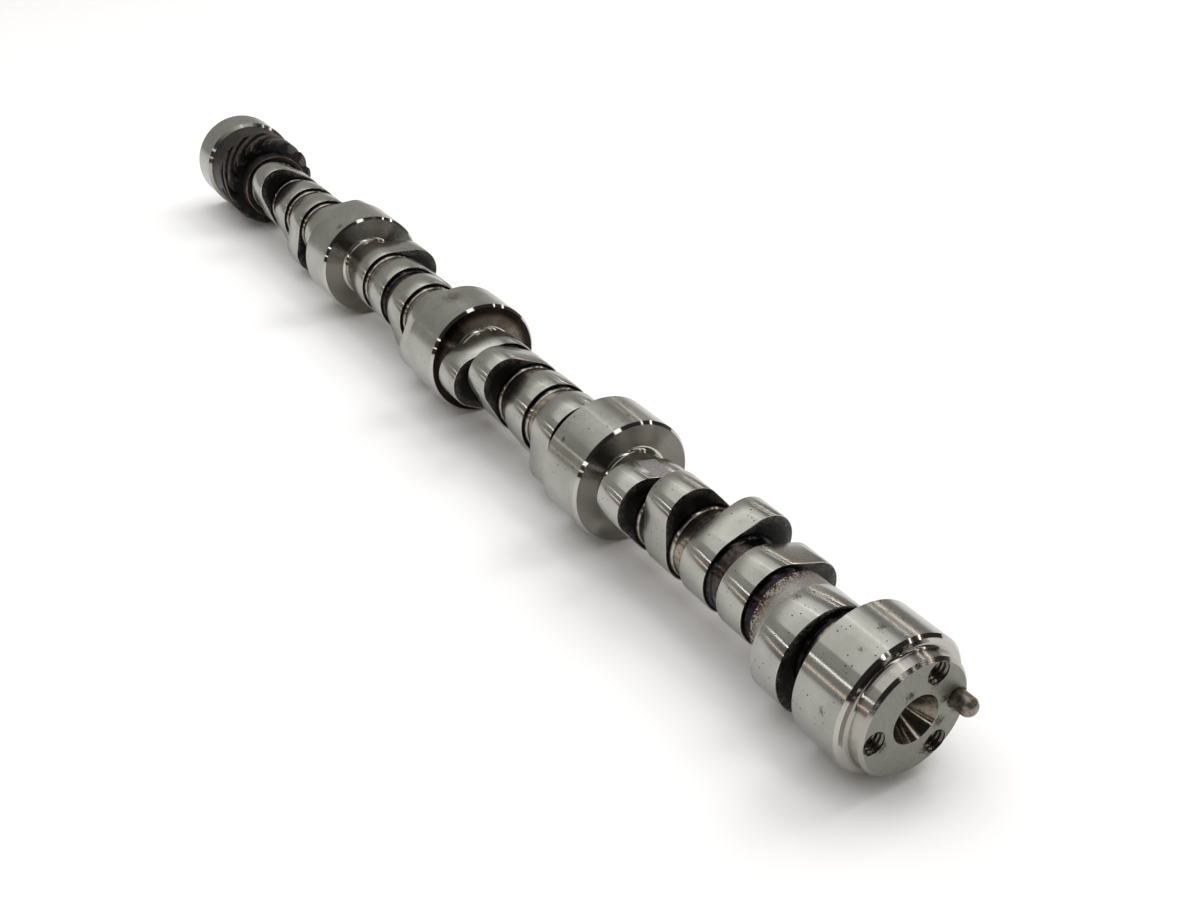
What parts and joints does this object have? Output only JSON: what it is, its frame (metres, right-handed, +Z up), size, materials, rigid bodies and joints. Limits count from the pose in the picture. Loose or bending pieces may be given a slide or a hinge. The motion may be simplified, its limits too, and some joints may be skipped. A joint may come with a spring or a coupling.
{
  "type": "camshaft",
  "caption": "Steel roller camshaft for a pushrod vee engine: ground journals and lobes, fuel pump eccentric, helical drive gear, and a threaded nose with a dowel pin",
  "frame": {"origin": "middle of the nose's front face, on the shaft's axis", "axes": "+X out of the nose along the shaft, Z up as it lies on its journals, Y to the right of someone who looks at the nose"},
  "size_m": [0.5544, 0.0474, 0.0474],
  "materials": {
    "camshaft": "ground journals and lobes, black oxide between them",
    "dowel_pin": "hardened, darkened"
  },
  "bodies": {
    "root": {"camshaft": "camshaft", "dowel_pin": "dowel_pin"}
  },
  "joints": []
}
